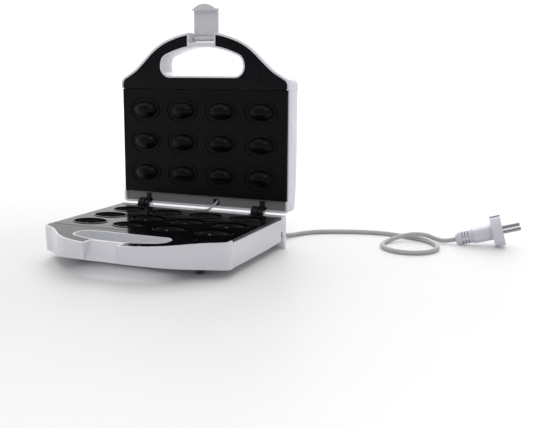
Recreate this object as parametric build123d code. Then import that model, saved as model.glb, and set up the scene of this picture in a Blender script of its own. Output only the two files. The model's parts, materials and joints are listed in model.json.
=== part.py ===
from build123d import *
from dataclasses import dataclass
import math
import os

# A countertop cooker for walnut-shaped cookies: a base and a hinged lid, each with a non-stick plate.
# Sizes are in millimetres. Pieces are drawn in a working frame: x to the right, y to the back, z up,
# y = 0 at the plates' rear edge and z = 0 on the parting plane between base and lid.
# Lid pieces are drawn as if they lay below the parting plane like the base, then mirrored and swung open.

# Plates
plate_width = 230.0
plate_depth = 132.0
plate_thickness = 2.8
plate_edge_groove = 0.35
plate_edge_groove_height = 0.5
plate_edge_groove_drop = 1.2
parting_gap = 0.2
skirt_inset = 1.5
skirt_wall = 2.0
skirt_drop = 5.5
columns = 4
rows = 3
cavity_pitch_x = 54.1
cavity_pitch_y = 40.1
cavity_length = 41.0
cavity_breadth = 29.0
cavity_wall = 2.1
rim_width = 1.5
rim_height = 0.6
groove_clearance = 0.6
groove_depth = 1.0
dome_length = 33.0
dome_breadth = 21.0
dome_sink = 1.5
dome_wall = 2.2

# Shell outline, stepping forward from the plates
side_ledge = 1.5
shoulder_step = 0.8
shoulder_gap = 11.9
shoulder_radius = 11.0
waist_inset = 21.4
waist_step = 12.1
waist_radius = 72.0
brow_inset = 56.1
brow_step = 32.5
brow_radius = 85.0
nose_step = 20.8
nose_radius = 125.0
rear_corner_radius = 4.0
rear_wall_top = 13.0
rear_wall_foot = 15.1
lid_rear_wall = 14.6
lid_rear_round = 8.0
wall = 2.5
floor_height = 40.0

# Shell depths below the parting plane
base_depth = 30.0
base_rear_depth = 27.4
lid_depth = 28.7
lid_rear_depth = 22.6
bow_start = 62.0
slope_gap = 2.0
slope_middle_step = 34.0
slope_middle_rise = 3.9
nose_rise = 14.2
bow_share = 0.75
corner_share = 0.98

# Handle panel and hand hole
panel_gap = 1.0
panel_thickness = 2.2
panel_sink = 0.1
hole_gap = 14.5
hole_side_inset = 54.8
hole_near_radius = 14.0
hole_taper = 5.5
hole_side_depth = 26.5
hole_far_radius = 13.0
hole_depth = 49.5
hole_top_radius = 122.0
tunnel_wall = 2.2
fit_clearance = 0.15

# Hinge
hinge_y = 16.0
open_angle = 91.2
knuckle_radius = 7.0
hinge_pin_radius = 2.0
running_clearance = 0.05
hinge_insets = (23.0, 44.5)
lower_lug_width = 8.9
lug_gap = 0.3
upper_lug_width = 5.6
hinge_window = 2.4
window_margin = 1.2
bracket_pad_depth = 22.0
lid_pad_depth = 17.0
bracket_flange = 9.0
flange_thickness = 2.5
bracket_front = 2.0
bracket_back = 10.2
bracket_top_gap = 0.6
lid_knuckle_radius = 6.0
arm_start_y = 8.0
hinge_pin_head_radius = 3.2
hinge_pin_head = 1.2
pin_clip_radius = 3.6
pin_clip_thickness = 0.8
bracket_screw_reach = 4.5
pad_margin = 0.7
trim_depth = 2.7
trim_thickness = 1.2
trim_clearance = 0.3
base_cable_slot = (-16.0, -6.0)
lid_cable_slot = (14.0, 23.0)
cable_slot_front = 3.5

# Latch
latch_pivot_back = 15.3
latch_pivot_height = 14.0
latch_width = 33.0
latch_thickness = 2.2
latch_barrel_radius = 3.0
latch_face_offset = 1.0
latch_pin_clearance = 0.05
latch_pin_radius = 1.5
latch_hook_start = 34.5
latch_hook_thickness = 1.8
latch_hook_drop = 5.0
latch_hook_width = 34.0
latch_tab_reach = 41.7
latch_groove = 0.9
latch_groove_inset = 1.5
latch_slit_half = 0.5
latch_slit_length = 4.0
notch_half = 17.6
notch_floor_back = 20.0
notch_wall = 2.0
notch_floor_wall = 4.8
recess_wall = 2.4
latch_pin_seat = 1.7
recess_half = 20.0
recess_top_back = 21.3
recess_foot_back = 10.0
recess_foot_depth = 18.9

# Standing legs and feet
leg_width = 45.0
leg_top_y = 2.1
leg_top_depth = 18.3
leg_foot_y = 8.5
cord_notch_front = -3.4
cord_notch_depth = 17.4
foot_inset = 39.0
foot_gap = -2.0
foot_radius = 4.5
foot_stem_radius = 2.0
foot_barb_radius = 2.8
foot_barb = 1.4

# Fasteners
screw_radius = 1.4
screw_head_radius = 2.7
screw_head_height = 1.8
boss_radius = 3.6
pilot_depth = 7.0
side_screw_inset = 37.3
side_screw_gap = 13.0
nose_screw_inset = 22.2
nose_screw_back = 21.3
front_lug_inset = 20.0
front_lug_gap = 5.0
rear_lug_inset = 9.0
rear_lug_gap = 5.0
lug_half_width = 5.5
lug_thickness = 2.5
lug_reach = 4.5
short_pilot_depth = 4.3

# Heating and wiring
heater_radius = 3.25
heater_bend_margin = 6.35
heater_open_inset = 17.0
heater_pin_radius = 1.2
heater_pin_length = 8.0
clamp_width = 8.0
clamp_thickness = 1.2
clamp_foot = 6.0
clamp_screw_bite = 2.2
reflector_thickness = 0.8
base_reflector_depth = 24.4
lid_reflector_depth = 15.6
reflector_side_margin = 13.0
reflector_front_margin = 12.0
reflector_rear_margin = 14.0
reflector_edge = 3.6
reflector_post_x = 60.0
reflector_post_rows = (26.0, -34.0)
post_radius = 3.0
post_tip_radius = 1.5
post_hole_clearance = 0.2
sensor_post_radius = 3.4
sensor_depth = 17.2
thermostat_radius = 7.5
thermostat_height = 5.5
fuse_radius = 2.2
fuse_length = 14.0
wire_radius = 1.0
wire_bend = 2.0
lead_bend = 7.0
heater_clearance = 0.05
sensor_ear = 4.0
sensor_blade_half = 1.5
sensor_blade_thickness = 0.8
wire_side_inset = 6.0
wire_row_y = -6.5
return_wire_row_y = -2.0
return_wire_depth = 22.5
cable_radius = 1.25
lid_entry = (19.5, -10.0, 14.0)
lens_x = 12.0
lens_gap = 8.0
lens_radius = 3.6
lens_stand = 1.2
lens_flange = 1.0
lamp_radius = 2.3
lamp_top = 19.0
holder_half = 17.0
holder_width = 8.0
holder_top = 20.5
holder_bottom = 24.0
holder_leg = 2.0

# Power cord, gland and plug
cord_radius = 2.75
gland_inset = 31.0
gland_depth = 21.0
gland_flange_radius = 6.2
gland_flange = 2.6
gland_body_radius = 4.35
relief_length = 20.0
relief_root_radius = 5.0
relief_tip_radius = 3.5
block_lead = 62.0
block_length = 30.0
block_width = 9.0
block_height = 8.5
block_well_radius = 2.3
block_well_depth = 3.0
block_screws = 3
terminal_screw_radius = 1.1
terminal_screw_length = 5.0
lead_row_y = -4.0
clamp_lead = 27.0
clamp_bar_half = 2.5
clamp_bar_thickness = 2.0
clamp_screw_reach = 6.5
clamp_post_radius = 2.4
plug_roll = 4.0
neck_length = 20.0
neck_radius = 8.0
neck_tip_radius = 5.2
neck_slot_width = 1.3
neck_taper = 6.0
neck_slot_floor = 5.2
neck_slots = (8.0, 11.5, 15.0)
neck_rib_half = 1.6
collar_radius = 9.0
collar_length = 2.0
grip_end = 44.5
grip_width = 21.0
grip_height = 17.0
grip_round = 6.0
disc_radius = 18.7
disc_thickness = 12.5
disc_flat = 17.2
pin_spacing = 19.0
pin_radius = 2.4
pin_length = 21.0
pin_seat = 5.0
pin_tip_round = 1.8
earth_width = 7.0
earth_depth = 2.6
earth_strip = 0.8

shell_half = plate_width / 2 + side_ledge
shoulder_half = shell_half + shoulder_step
brow_half = shoulder_half - brow_inset
shoulder_reach = plate_depth + shoulder_gap
waist_reach = shoulder_reach + waist_step
brow_reach = waist_reach + brow_step
nose_reach = brow_reach + nose_step
slope_start = plate_depth + slope_gap
slope_middle = slope_start + slope_middle_step
hole_near = plate_depth + hole_gap
hole_far = hole_near + hole_side_depth
hole_top = hole_near + hole_depth
hole_near_half = shoulder_half - hole_side_inset
hole_far_half = hole_near_half - hole_taper
hinge_lower_starts = (hinge_insets[0] - plate_width / 2, plate_width / 2 - hinge_insets[1])
latch_pivot_reach = nose_reach - latch_pivot_back
notch_floor_reach = nose_reach - notch_floor_back
recess_top_reach = nose_reach - recess_top_back
recess_foot_reach = nose_reach - recess_foot_back
foot_x = plate_width / 2 - foot_inset
foot_y = -plate_depth - foot_gap
side_screw = (shoulder_half - side_screw_inset, -plate_depth - side_screw_gap)
nose_screw = (brow_half - nose_screw_inset, nose_screw_back - nose_reach)
panel_screws = (side_screw, nose_screw)
front_lug = (plate_width / 2 - front_lug_inset, -plate_depth - front_lug_gap)
rear_lug = (plate_width / 2 - rear_lug_inset, rear_lug_gap)
heater_bend_x = cavity_pitch_x * (columns - 1) / 2 + heater_bend_margin
gland_x = plate_width / 2 - gland_inset
block_x = gland_x - block_lead
cord_clamp_x = gland_x - clamp_lead
heater_open_x = heater_open_inset - plate_width / 2
wire_side_x = wire_side_inset - plate_width / 2
fuse_x = -cavity_pitch_x
lens_y = -plate_depth - lens_gap
panel_start = plate_depth + panel_gap
cavity_y = -plate_depth / 2
reflector_posts = [(reflector_post_x, cavity_y + row) for row in reflector_post_rows]
plate_under = -parting_gap - plate_thickness
skirt_under = plate_under - skirt_drop
panel_top = -parting_gap - panel_sink
panel_under = panel_top - panel_thickness
lug_top = skirt_under + lug_thickness
leg_inner_x = shell_half - leg_width
heater_z = plate_under - heater_radius - heater_clearance
heater_rows = (cavity_y - cavity_pitch_y / 2, cavity_y + cavity_pitch_y / 2)
bracket_middle = (bracket_front + bracket_back) / 2
recess_slope = (recess_foot_reach - recess_top_reach) / recess_foot_depth
inner_rear = rear_wall_top - wall
lead_z = -gland_depth
wire_z = -sensor_depth - fuse_radius
block_top = block_height / 2 + lead_z


# Drawing helpers

def span(x0, x1, y0, y1, z0, z1):
    """A box between two corners."""
    box = Box(abs(x1 - x0), abs(y1 - y0), abs(z1 - z0))
    return Pos((x0 + x1) / 2, (y0 + y1) / 2, (z0 + z1) / 2) * box


def post(radius, x, y, z0, z1):
    """An upright cylinder."""
    return Pos(x, y, (z0 + z1) / 2) * Cylinder(radius, abs(z1 - z0))


def rod(radius, x0, x1, y, z):
    """A cylinder along x."""
    return Pos((x0 + x1) / 2, y, z) * Rot(0, 90, 0) * Cylinder(radius, abs(x1 - x0))


def rear_rod(radius, x, y0, y1, z):
    """A cylinder along y."""
    return Pos(x, (y0 + y1) / 2, z) * Rot(90, 0, 0) * Cylinder(radius, abs(y1 - y0))


def drop(face, depth):
    """A prism that reaches down from a flat face."""
    return extrude(face, depth, dir=(0, 0, -1))


def side_prism(points, x0, x1):
    """A prism along x from a polygon of (y, z) points."""
    face = Plane.YZ * make_face(Polyline(*points, close=True))
    return Pos(x0, 0, 0) * extrude(face, x1 - x0, dir=(1, 0, 0))


def tube(points, radius, bend):
    """A round lead along straight runs joined by arcs; bend is one radius or one for each corner."""
    path = FilletPolyline(*points, radius=bend)
    start = Plane(origin=path @ 0, z_dir=path % 0)
    return sweep(start * Circle(radius), path=path)


def bowl(length, breadth):
    """The lower half of an oval solid that is round about its long axis, x."""
    return scale(Sphere(0.5, -90, 0, align=None), by=(length, breadth, breadth))


def crown(length, breadth):
    """The upper half of such a solid."""
    return scale(Sphere(0.5, 0, 90, align=None), by=(length, breadth, breadth))


def oval(x, y, half_x, half_y, z0, z1):
    """An upright oval prism."""
    return Pos(x, y, z0) * extrude(Ellipse(half_x, half_y), z1 - z0, dir=(0, 0, 1))


def both_sides(part):
    """A part and its mirror image across the middle."""
    return [part, mirror(part, Plane.YZ)]


def screw(x, y, z, length):
    """A pan-head screw whose head sits on z and whose shank goes down."""
    return post(screw_head_radius, x, y, z, z + screw_head_height) + post(
        screw_radius, x, y, z - length, z,
    )


def flat_head(x, y, clearance):
    """The cone of a countersunk head, flush with the handle panel's face."""
    height = screw_head_radius - screw_radius
    cone = Cone(screw_radius + clearance, screw_head_radius + clearance, height)
    return Pos(x, y, panel_top - height / 2) * cone


def pilot_hole(x, y, top, depth):
    """A screw's hole down into its boss."""
    return post(screw_radius + running_clearance, x, y, top - depth, top + wall)


def swing_open(part):
    """Takes a lid piece from below the parting plane to its place in the open lid."""
    closed = mirror(part, Plane.XY)
    return closed.rotate(Axis((0, hinge_y, 0), (1, 0, 0)), -open_angle)


def open_point(x, y, depth):
    """Where a point of the lid, given by its depth from the parting plane, lies in the open lid."""
    angle = math.radians(open_angle)
    back = hinge_y + (y - hinge_y) * math.cos(angle) + depth * math.sin(angle)
    return (x, back, (hinge_y - y) * math.sin(angle) + depth * math.cos(angle))


def pocket_places():
    """Centres of the cavities, and of the domes above them."""
    return [
        (
            (column - (columns - 1) / 2) * cavity_pitch_x,
            cavity_y + (row - (rows - 1) / 2) * cavity_pitch_y,
        )
        for row in range(rows)
        for column in range(columns)
    ]


# Shells

@dataclass
class Half:
    """The outline values that differ between the base and the lid."""
    plan_rear: float
    rear_top: float
    rear_low: float
    rear_depth: float
    depth: float
    rear_round: float
    tray_depth: float
    pad_depth: float


def wall_y(depth):
    """The base's sloping rear face at a depth below the parting plane."""
    return rear_wall_top + (rear_wall_foot - rear_wall_top) * depth / floor_height


def leg_front_y(depth):
    """The standing leg's sloping front face at a depth below the parting plane."""
    slope = (leg_foot_y - leg_top_y) / (floor_height - leg_top_depth)
    return leg_top_y + slope * (depth - leg_top_depth)


def recess_y(depth, back):
    """The latch recess's slanted face at a depth, or a line behind it."""
    return back - recess_top_reach - recess_slope * depth


base_half = Half(
    rear_wall_foot, rear_wall_top, wall_y(base_rear_depth), base_rear_depth, base_depth, 0.0,
    base_reflector_depth, bracket_pad_depth,
)
lid_half = Half(
    lid_rear_wall, lid_rear_wall, lid_rear_wall, lid_rear_depth, lid_depth, lid_rear_round,
    lid_reflector_depth, lid_pad_depth,
)


def outline(points, radii):
    """A closed outline whose corner rounds are no larger than their straight runs allow."""
    corners = [Vector(*point) for point in points]
    count = len(corners)
    reaches = []
    for index in range(count):
        before = corners[index] - corners[index - 1]
        after = corners[(index + 1) % count] - corners[index]
        reaches.append(radii[index] * math.tan(math.radians(before.get_angle(after)) / 2))
    fitted = list(radii)
    for index in range(count):
        following = (index + 1) % count
        run = (corners[following] - corners[index]).length * corner_share
        taken = reaches[index] + reaches[following]
        if taken > run:
            for corner in (index, following):
                fitted[corner] = min(fitted[corner], radii[corner] * run / taken)
    return make_face(FilletPolyline(*points, radius=fitted, close=True))


def plan_face(rear, inset):
    """The plan outline: straight sides, round shoulders, a waist and a bowed handle."""
    right = [
        (shell_half, rear),
        (shell_half, -panel_start),
        (shoulder_half, -panel_start),
        (shoulder_half, -shoulder_reach),
        (shoulder_half - waist_inset, -waist_reach),
        (brow_half, -brow_reach),
    ]
    radii = [rear_corner_radius, 0, 0, shoulder_radius, waist_radius, brow_radius]
    left = [(-x, y) for x, y in reversed(right)]
    points = right + [(0, -nose_reach)] + left
    face = outline(points, radii + [nose_radius] + radii[::-1])
    if inset:
        return offset(face, amount=-inset)
    return face


def slope_arc(half, lift):
    """The handle's sloping floor seen from the side."""
    slope_foot = (-slope_start, -half.depth + lift)
    slope_half = (-slope_middle, -half.depth + slope_middle_rise + lift)
    return ThreePointArc(slope_foot, slope_half, (-nose_reach, -half.depth + nose_rise + lift))


def slope_z(half, y):
    """Height of the inner face of the handle's sloping floor at y."""
    arc = slope_arc(half, wall)
    centre = arc.arc_center
    return centre.Y - math.sqrt(arc.radius ** 2 - (y - centre.X) ** 2)


def side_solid(half, lift):
    """The half's profile seen from the side: bowed floor, handle that thins to the front."""
    top = wall
    rear_top = half.rear_top - lift
    rear_low = half.rear_low if lift == 0 else rear_top
    rear_foot = (rear_low, -half.rear_depth + lift)
    bow_end = (-bow_start, -half.depth + lift)
    bow_z = -half.depth * bow_share - half.rear_depth * (1 - bow_share) + lift
    bow_middle = ((rear_low - bow_start) / 2, bow_z)
    slope = slope_arc(half, lift)
    edges = ThreePointArc(rear_foot, bow_middle, bow_end)
    edges += Line(bow_end, slope @ 0)
    edges += slope
    edges += Polyline(slope @ 1, (-nose_reach, top), (rear_top, top), rear_foot)
    face = make_face(edges)
    radius = half.rear_round - lift
    if half.rear_round:
        corner = face.vertices().sort_by_distance((rear_foot[0], rear_foot[1], 0))[0]
        face = fillet(corner, radius)
    return extrude(Plane.YZ * face, shoulder_half + wall, both=True)


def hand_hole(inset):
    """The D-shaped hand hole, nearly flat on the plate side."""
    right = [(hole_near_half, -hole_near), (hole_far_half, -hole_far)]
    points = right + [(0, -hole_top)] + [(-x, y) for x, y in reversed(right)]
    radii = [hole_near_radius, hole_far_radius, hole_top_radius, hole_far_radius, hole_near_radius]
    face = outline(points, radii)
    if inset:
        return offset(face, amount=-inset)
    return face


def bracket_pad(start, end, half):
    """A raised pad on the shell's floor that carries a hinge bracket."""
    back = half.rear_top - wall + fit_clearance
    front = bracket_front - pad_margin
    return span(start - pad_margin, end + pad_margin, front, back, -floor_height, -half.pad_depth)


def half_shell(half, extra, inner):
    """One shell half: walls and floor, the hand hole's tunnel, bosses and posts."""
    plan = Pos(0, 0, -parting_gap) * drop(plan_face(half.plan_rear, 0), floor_height - parting_gap)
    outer = plan & side_solid(half, 0)
    for piece in extra:
        outer += piece & plan
    cavity = drop(plan_face(half.rear_top, wall), floor_height) & side_solid(half, wall)
    kept = [drop(hand_hole(fit_clearance), floor_height)] + inner
    for x, y in panel_screws:
        kept += both_sides(post(boss_radius, x, y, -floor_height, panel_under))
    for x, y in (front_lug, rear_lug):
        kept += both_sides(post(boss_radius, x, y, -floor_height, skirt_under))
    for x, y in reflector_posts:
        kept += both_sides(post(post_radius, x, y, -floor_height, -half.tray_depth - reflector_thickness))
        kept += both_sides(
            post(post_tip_radius, x, y, -floor_height, -half.tray_depth + reflector_thickness),
        )
    shell = outer - (cavity - kept)
    cuts = [
        span(-shoulder_half, shoulder_half, -panel_start, fit_clearance, plate_under, wall),
        drop(hand_hole(tunnel_wall), floor_height),
    ]
    for x, y in panel_screws:
        cuts += both_sides(pilot_hole(x, y, panel_under, pilot_depth))
    for x, y in (front_lug, rear_lug):
        cuts += both_sides(pilot_hole(x, y, skirt_under, pilot_depth))
    for start in hinge_lower_starts:
        end = start + lower_lug_width + lug_gap + upper_lug_width
        inner_face = half.rear_top - wall - fit_clearance
        cuts.append(
            span(
                start - hinge_window, end + hinge_window, inner_face, rear_wall_foot + wall,
                -knuckle_radius - window_margin, wall,
            )
        )
    return shell - cuts


def make_base_shell():
    """The base's white moulding with its legs, latch recess, cord notches and inner pads."""
    leg = side_prism(
        [
            (leg_top_y, -leg_top_depth),
            (leg_foot_y, -floor_height),
            (rear_wall_foot, -floor_height),
            (wall_y(leg_top_depth), -leg_top_depth),
        ],
        leg_inner_x,
        shell_half,
    )
    liner_half = recess_half + recess_wall
    liner = side_prism(
        [
            (recess_y(0, recess_wall), 0),
            (recess_y(base_depth, recess_wall), -base_depth),
            (-nose_reach - wall, -base_depth),
            (-nose_reach - wall, 0),
        ],
        -liner_half,
        liner_half,
    )
    pads = [liner]
    for start in hinge_lower_starts:
        pads.append(bracket_pad(start - bracket_flange, start + lower_lug_width, base_half))
    pads.append(
        span(
            block_x - wall, block_x + block_length + fit_clearance,
            lead_row_y - block_width / 2 - wall, lead_row_y + block_width / 2 + wall,
            -floor_height, block_top - block_height,
        )
    )
    clamp_rows = (lead_row_y - clamp_screw_reach, lead_row_y + clamp_screw_reach)
    for y in clamp_rows:
        pads.append(post(clamp_post_radius, cord_clamp_x, y, -floor_height, lead_z + cord_radius))
    saddle = (cord_clamp_x - clamp_bar_half, cord_clamp_x + clamp_bar_half, clamp_rows[0], clamp_rows[1])
    pads.append(span(*saddle, -floor_height, lead_z - cord_radius - running_clearance))
    shell = half_shell(base_half, both_sides(leg), pads)
    recess = side_prism(
        [
            (recess_y(-wall, 0), wall),
            (recess_y(base_depth, 0), -base_depth),
            (-nose_reach - wall, -base_depth),
            (-nose_reach - wall, wall),
        ],
        -recess_half,
        recess_half,
    )
    notch = side_prism(
        [
            (cord_notch_front, -cord_notch_depth),
            (leg_front_y(cord_notch_depth), -cord_notch_depth),
            (leg_front_y(floor_height), -floor_height),
            (cord_notch_front, -floor_height),
        ],
        shell_half - wall - fit_clearance,
        shell_half + wall,
    )
    cuts = [recess] + both_sides(notch)
    cuts += both_sides(
        post(foot_stem_radius + fit_clearance, foot_x, foot_y, -floor_height, -base_depth + 2 * wall),
    )
    gland_hole = gland_body_radius + running_clearance
    cuts.append(rear_rod(gland_hole, gland_x, inner_rear - fit_clearance, rear_wall_foot + wall, lead_z))
    for y in clamp_rows:
        cuts.append(pilot_hole(cord_clamp_x, y, lead_z + cord_radius, short_pilot_depth))
    for start in hinge_lower_starts:
        cuts.append(
            pilot_hole(start - bracket_screw_reach, bracket_middle, -bracket_pad_depth, short_pilot_depth),
        )
    return shell - cuts


def make_lid_shell():
    """The lid's moulding, drawn below the parting plane, with its latch notch and lens holes."""
    liner_half = notch_half + notch_wall
    liner = span(
        -liner_half, liner_half, -nose_reach - wall, -notch_floor_reach + notch_floor_wall,
        -floor_height, 0,
    )
    pads = [liner]
    for start in hinge_lower_starts:
        inner = start + lower_lug_width + lug_gap
        pads.append(bracket_pad(inner, inner + upper_lug_width + bracket_flange, lid_half))
    shell = half_shell(lid_half, [], pads)
    cuts = [span(-notch_half, notch_half, -nose_reach - wall, -notch_floor_reach, -floor_height, wall)]
    seat = notch_half + latch_pin_seat
    cuts.append(
        rod(latch_pin_radius + latch_pin_clearance, -seat, seat, -latch_pivot_reach, -latch_pivot_height),
    )
    cuts += both_sides(
        post(lens_radius + fit_clearance, lens_x, lens_y, -floor_height, -lid_depth + 2 * wall),
    )
    for start in hinge_lower_starts:
        reach = lower_lug_width + lug_gap + upper_lug_width + bracket_screw_reach
        cuts.append(pilot_hole(start + reach, bracket_middle, -lid_pad_depth, short_pilot_depth))
    return shell - cuts


# Panels and plates

def handle_panel(notch_half_width, notch_front):
    """The black cover around the hand hole, cut out for the latch."""
    face = plan_face(lid_rear_wall, wall + fit_clearance)
    panel = Pos(0, 0, panel_top) * drop(face, panel_thickness)
    panel -= span(-shell_half, shell_half, -panel_start, lid_rear_wall, panel_under - wall, wall)
    cuts = [drop(hand_hole(0), wall + panel_thickness)]
    width = notch_half_width + fit_clearance
    cuts.append(span(-width, width, -nose_reach, notch_front + fit_clearance, panel_under - wall, wall))
    for x, y in panel_screws:
        cuts += both_sides(flat_head(x, y, running_clearance))
        cuts += both_sides(post(screw_radius + running_clearance, x, y, panel_under - wall, wall))
    return panel - cuts


def panel_screw_set():
    """Four countersunk screws through a handle panel."""
    length = panel_thickness + pilot_depth - fit_clearance
    screws = []
    for x, y in panel_screws:
        one = flat_head(x, y, 0) + post(
            screw_radius, x, y, panel_top - length, panel_top - screw_head_height / 2,
        )
        screws += both_sides(one)
    return screws


def plate_blank():
    """A plate's sheet with its edge groove, skirt, lugs and the holes for the clamp screws."""
    half = plate_width / 2
    plate = span(-half, half, -plate_depth, 0, plate_under, -parting_gap)
    groove_top = -parting_gap - plate_edge_groove_drop
    band = (groove_top - plate_edge_groove_height, groove_top)
    inner = half - plate_edge_groove
    groove = span(-half - wall, half + wall, -plate_depth - wall, wall, *band)
    groove -= span(-inner, inner, -plate_depth + plate_edge_groove, -plate_edge_groove, *band)
    plate -= groove
    edge = half - skirt_inset
    rear = -skirt_inset
    front = -plate_depth + skirt_inset
    skirt = span(-edge, edge, front, rear, skirt_under, plate_under)
    side = edge - skirt_wall
    skirt -= span(-side, side, front + skirt_wall, rear - skirt_wall, skirt_under, plate_under)
    lug_height = (skirt_under, skirt_under + lug_thickness)
    x, y = front_lug
    lugs = both_sides(
        span(x - lug_half_width, x + lug_half_width, y - lug_reach, front + skirt_wall / 2, *lug_height),
    )
    x, y = rear_lug
    lugs += both_sides(
        span(x - lug_half_width, x + lug_half_width, rear - skirt_wall / 2, y + lug_reach, *lug_height),
    )
    plate = plate + skirt + lugs
    holes = []
    for x, y in (front_lug, rear_lug):
        holes += both_sides(
            post(screw_radius + post_hole_clearance / 2, x, y, skirt_under - wall, lug_top + wall / 2),
        )
    for x, y in clamp_screw_places():
        holes.append(
            post(screw_radius + running_clearance, x, y, plate_under, plate_under + clamp_screw_bite),
        )
    return plate - holes


def plate_screw_set():
    """Four screws through a plate's lugs into the shell's bosses."""
    screws = []
    for x, y in (front_lug, rear_lug):
        screws += both_sides(screw(x, y, lug_top, lug_thickness + pilot_depth - fit_clearance))
    return screws


def make_lower_plate():
    """The lower plate with its oval cavities, their rims and the two sensor posts."""
    mouth_z = -parting_gap + rim_height
    half_x = cavity_length / 2
    half_y = cavity_breadth / 2
    rim_foot = -rim_height - plate_thickness / 2
    cup = bowl(cavity_length + 2 * cavity_wall, cavity_breadth + 2 * cavity_wall)
    cup -= span(-cavity_length, cavity_length, -cavity_breadth, cavity_breadth, -rim_height, wall)
    cup += oval(0, 0, half_x + rim_width, half_y + rim_width, rim_foot, 0)
    cup -= bowl(cavity_length, cavity_breadth)
    mouths = []
    cups = []
    for x, y in pocket_places():
        mouths.append(oval(x, y, half_x + rim_width / 2, half_y + rim_width / 2, plate_under, -parting_gap))
        cups.append(Pos(x, y, mouth_z) * cup)
    posts = [post(sensor_post_radius, x, cavity_y, -sensor_depth, plate_under) for x in (0, fuse_x)]
    return plate_blank() - mouths + cups + posts


def make_upper_plate():
    """The upper plate with its hollow oval domes, each in a groove that takes a cavity's rim."""
    dome_z = -parting_gap - dome_sink
    dome = crown(dome_length, dome_breadth)
    inside = crown(dome_length - 2 * dome_wall, dome_breadth - 2 * dome_wall)
    spare = rim_width + groove_clearance
    groove_out = (cavity_length / 2 + spare, cavity_breadth / 2 + spare)
    groove_in = (cavity_length / 2 - groove_clearance, cavity_breadth / 2 - groove_clearance)
    groove_band = (-parting_gap - groove_depth, -parting_gap)
    domes = []
    hollows = []
    for x, y in pocket_places():
        domes.append(Pos(x, y, dome_z) * dome)
        hollows.append(Pos(x, y, dome_z) * inside)
        hollows.append(
            oval(x, y, dome_length / 2 - dome_wall, dome_breadth / 2 - dome_wall, plate_under, dome_z),
        )
        hollows.append(oval(x, y, *groove_out, *groove_band) - oval(x, y, *groove_in, *groove_band))
    return plate_blank() + domes - hollows


# Heating

def clamp_screw_places():
    """The two screws beside each leg of the heater."""
    reach = heater_radius + heater_clearance + clamp_thickness + clamp_foot / 2
    return [(0, row + side * reach) for row in heater_rows for side in (-1, 1)]


def make_heater():
    """A tubular element bent to a U, with its two terminal pins."""
    near, far = heater_rows
    path = Line((heater_open_x, near, heater_z), (heater_bend_x, near, heater_z))
    tip = (heater_bend_x + (far - near) / 2, cavity_y, heater_z)
    path += ThreePointArc((heater_bend_x, near, heater_z), tip, (heater_bend_x, far, heater_z))
    path += Line((heater_bend_x, far, heater_z), (heater_open_x, far, heater_z))
    start = Plane(origin=path @ 0, z_dir=path % 0)
    element = sweep(start * Circle(heater_radius), path=path)
    pin_x = heater_open_x - heater_pin_length
    pins = [rod(heater_pin_radius, pin_x, heater_open_x, y, heater_z) for y in heater_rows]
    return element + pins


def make_heater_clamps():
    """Two saddle straps that hold the heater against the plate."""
    straps = []
    inner = heater_radius + heater_clearance
    outer = inner + clamp_thickness
    half = clamp_width / 2
    for row in heater_rows:
        strap = rod(outer, -half, half, row, heater_z)
        strap += span(-half, half, row - outer, row + outer, heater_z, plate_under)
        reach = outer + clamp_foot
        strap += span(-half, half, row - reach, row + reach, plate_under - clamp_thickness, plate_under)
        strap -= rod(inner, -half, half, row, heater_z)
        strap -= span(-half, half, row - inner, row + inner, heater_z, plate_under)
        strap -= span(-half, half, row - outer, row + outer, plate_under, plate_under + outer)
        strap -= [
            post(screw_radius + post_hole_clearance / 2, x, y, plate_under - wall, plate_under)
            for x, y in clamp_screw_places()
        ]
        straps.append(strap)
    return straps


def clamp_screw_set():
    """Four screws up into a plate's underside."""
    seat = plate_under - clamp_thickness
    screws = []
    for x, y in clamp_screw_places():
        head = post(screw_head_radius, x, y, seat - screw_head_height, seat)
        screws.append(
            head + post(screw_radius, x, y, seat, plate_under + clamp_screw_bite - fit_clearance),
        )
    return screws


def make_reflector(half):
    """A heat reflector tray that sits on the shell's posts."""
    side = plate_width / 2 - reflector_side_margin
    front = -plate_depth + reflector_front_margin
    rear = -reflector_rear_margin
    bottom = -half.tray_depth - reflector_thickness
    tray = span(-side, side, front, rear, bottom, -half.tray_depth + reflector_edge)
    inset = reflector_thickness
    tray -= span(-side + inset, side - inset, front + inset, rear - inset, -half.tray_depth, wall)
    holes = []
    for x, y in reflector_posts:
        holes += both_sides(
            post(post_tip_radius + post_hole_clearance, x, y, bottom - wall, -half.tray_depth + wall),
        )
    return tray - holes


def make_thermostat():
    """A disc thermostat under the middle post, with a terminal blade on each side."""
    body = post(thermostat_radius, 0, cavity_y, -sensor_depth - thermostat_height, -sensor_depth)
    reach = thermostat_radius + sensor_ear
    blade = span(
        -reach, reach, cavity_y - sensor_blade_half, cavity_y + sensor_blade_half,
        wire_z - sensor_blade_thickness, wire_z + sensor_blade_thickness,
    )
    return body + blade


def make_thermal_fuse():
    """A thermal fuse in its saddle under the left post."""
    fuse = rod(fuse_radius, fuse_x - fuse_length / 2, fuse_x + fuse_length / 2, cavity_y, wire_z)
    half = sensor_post_radius
    return fuse + span(
        fuse_x - half, fuse_x + half, cavity_y - half, cavity_y + half, wire_z, -sensor_depth,
    )


# Wiring

def make_terminal_block():
    """The block where the cord meets the inner wires, with three screw wells."""
    bottom = block_top - block_height
    block = span(
        block_x, block_x + block_length,
        lead_row_y - block_width / 2, lead_row_y + block_width / 2,
        bottom, block_top,
    )
    wells = []
    for x in block_screw_places():
        wells.append(
            post(block_well_radius, x, lead_row_y, block_top - block_well_depth, block_top + wall),
        )
        depth = block_well_depth + terminal_screw_length
        wells.append(
            post(terminal_screw_radius + running_clearance, x, lead_row_y, block_top - depth, block_top),
        )
    return block - wells


def block_screw_places():
    """The wells' places along the block."""
    pitch = block_length / block_screws
    return [block_x + pitch * (index + 0.5) for index in range(block_screws)]


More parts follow.
